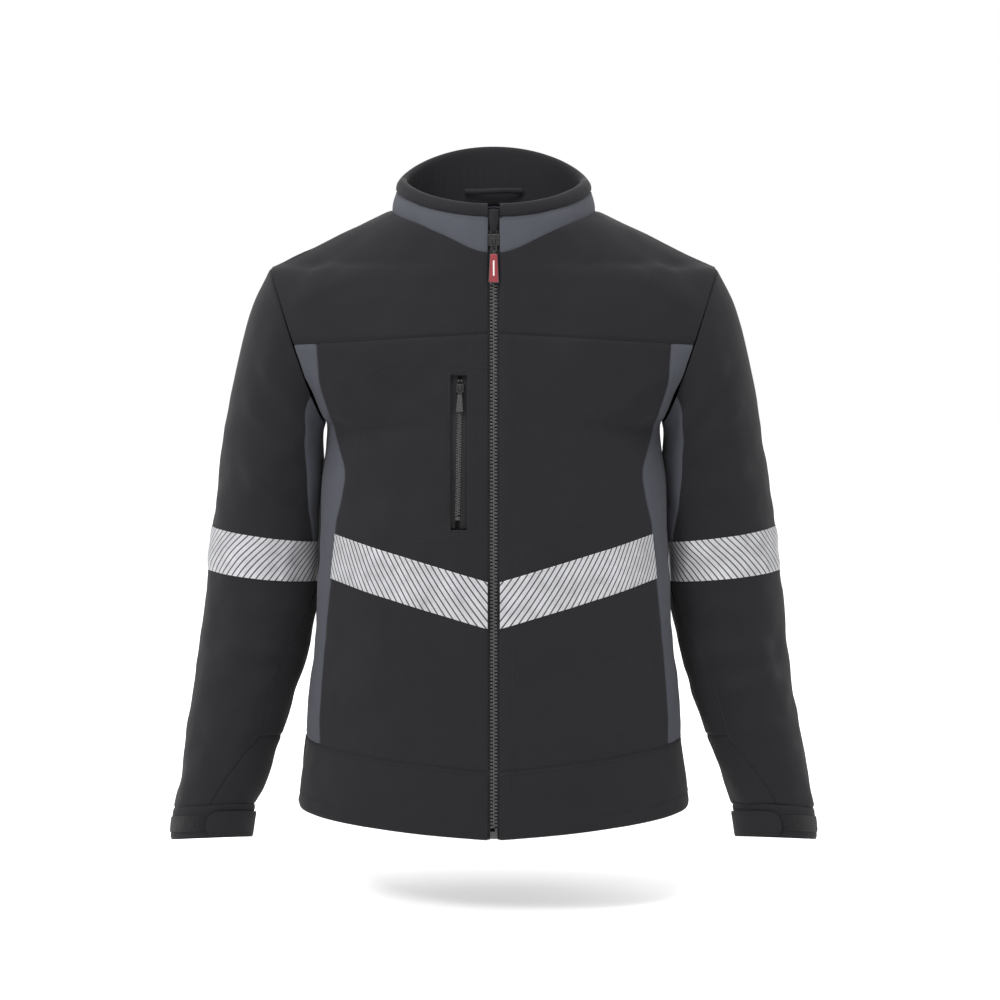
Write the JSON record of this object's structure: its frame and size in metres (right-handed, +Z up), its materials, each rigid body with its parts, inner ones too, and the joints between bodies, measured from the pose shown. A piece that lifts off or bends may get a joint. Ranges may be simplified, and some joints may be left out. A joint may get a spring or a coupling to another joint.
{
  "type": "turnout coat",
  "caption": "Black zip-front softshell work jacket with a grey stand collar and side panels and segmented silver reflective tape round the chest, back and sleeves.",
  "frame": {"origin": "middle of the neck at the height where the shoulder seams meet the collar", "axes": "+Z up, front of the coat faces -Y, wearer's left is +X"},
  "size_m": [0.7514, 0.2891, 0.8171],
  "materials": {
    "softshell_black": "matte knit-faced softshell",
    "softshell_grey": "matte grey softshell",
    "lining_black": "smooth lining",
    "reflective_silver": "segmented reflective film",
    "zip_tape_black": "woven zip tape",
    "moulded_black": "moulded acetal",
    "slider_black": "black lacquered zinc",
    "pull_red": "moulded rubber grip",
    "loop_pile": "hook and loop"
  },
  "bodies": {
    "coat": {"back_panel": "softshell_black", "back_yoke": "softshell_black", "body_lining": "lining_black", "chest_pocket_bag": "lining_black", "chest_zip_stops": "moulded_black", "chest_zip_tapes": "zip_tape_black", "chest_zip_teeth": "moulded_black", "collar_band": "softshell_grey", "collar_roll_and_facing": "softshell_black", "front_panel_left": "softshell_black", "front_panel_right": "softshell_black", "front_yoke_left": "softshell_black", "front_yoke_right": "softshell_black", "hand_pocket_bag_left": "lining_black", "hand_pocket_bag_right": "lining_black", "hanger_loop": "lining_black", "hem_band_back": "softshell_black", "hem_band_left": "softshell_black", "hem_band_right": "softshell_black", "reflective_tape_back": "reflective_silver", "reflective_tape_chest_left": "reflective_silver", "reflective_tape_chest_right": "reflective_silver", "side_panel_left": "softshell_grey", "side_panel_right": "softshell_grey", "storm_flap": "softshell_black", "zip_bottom_box": "moulded_black", "zip_garage": "softshell_black", "zip_insertion_pin": "moulded_black", "zip_tape_left": "zip_tape_black", "zip_tape_right": "zip_tape_black", "zip_teeth_left": "moulded_black", "zip_teeth_right": "moulded_black", "zip_top_stops": "moulded_black"},
    "main_slider": {"main_slider": "slider_black"},
    "main_pull": {"main_pull_link": "slider_black", "main_pull_tab": "pull_red"},
    "chest_slider": {"chest_slider": "slider_black"},
    "chest_pull": {"chest_pull_link": "slider_black", "chest_pull_tab": "moulded_black"},
    "sleeve_left": {"sleeve_upper_left": "softshell_black", "sleeve_gusset_left": "softshell_grey", "sleeve_under_left": "softshell_black", "forearm_patch_left": "softshell_black", "cuff_left": "softshell_black", "cuff_loop_patch_left": "loop_pile", "sleeve_tape_left": "reflective_silver", "sleeve_lining_left": "lining_black"},
    "cuff_tab_left": {"cuff_tab_left": "softshell_black", "cuff_hook_patch_left": "loop_pile"},
    "sleeve_right": {"sleeve_upper_right": "softshell_black", "sleeve_gusset_right": "softshell_grey", "sleeve_under_right": "softshell_black", "forearm_patch_right": "softshell_black", "cuff_right": "softshell_black", "cuff_loop_patch_right": "loop_pile", "sleeve_tape_right": "reflective_silver", "sleeve_lining_right": "lining_black"},
    "cuff_tab_right": {"cuff_tab_right": "softshell_black", "cuff_hook_patch_right": "loop_pile"}
  },
  "joints": [
    {"name": "main_zip_slide", "type": "slide", "parent": "coat", "child": "main_slider", "axis": [0, -0.0778, -0.997], "range_m": [0, 0.645]},
    {"name": "main_pull_hinge", "type": "hinge", "parent": "main_slider", "child": "main_pull", "pos_m": [0, -0.09896, -0.03795], "axis": [-1, 0, 0], "range_deg": [0, 150]},
    {"name": "chest_zip_slide", "type": "slide", "parent": "coat", "child": "chest_slider", "axis": [-0.0197, -0.0743, -0.997], "range_m": [0, 0.128]},
    {"name": "chest_pull_hinge", "type": "hinge", "parent": "chest_slider", "child": "chest_pull", "pos_m": [-0.03759, -0.109, -0.20267], "axis": [-1, 0, 0], "range_deg": [0, 150]},
    {"name": "shoulder_left", "type": "hinge", "parent": "coat", "child": "sleeve_left", "pos_m": [0.2565, 0, -0.0635], "axis": [0, -1, 0], "range_deg": [0, 50]},
    {"name": "cuff_tab_left", "type": "hinge", "parent": "sleeve_left", "child": "cuff_tab_left", "pos_m": [0.27743, -0.03841, -0.70908], "axis": [0.1409, -0.2037, -0.9688], "range_deg": [0, 95]},
    {"name": "shoulder_right", "type": "hinge", "parent": "coat", "child": "sleeve_right", "pos_m": [-0.2565, 0, -0.0635], "axis": [0, 1, 0], "range_deg": [0, 50]},
    {"name": "cuff_tab_right", "type": "hinge", "parent": "sleeve_right", "child": "cuff_tab_right", "pos_m": [-0.27743, -0.03841, -0.70908], "axis": [0.1409, 0.2037, 0.9688], "range_deg": [0, 95]}
  ]
}
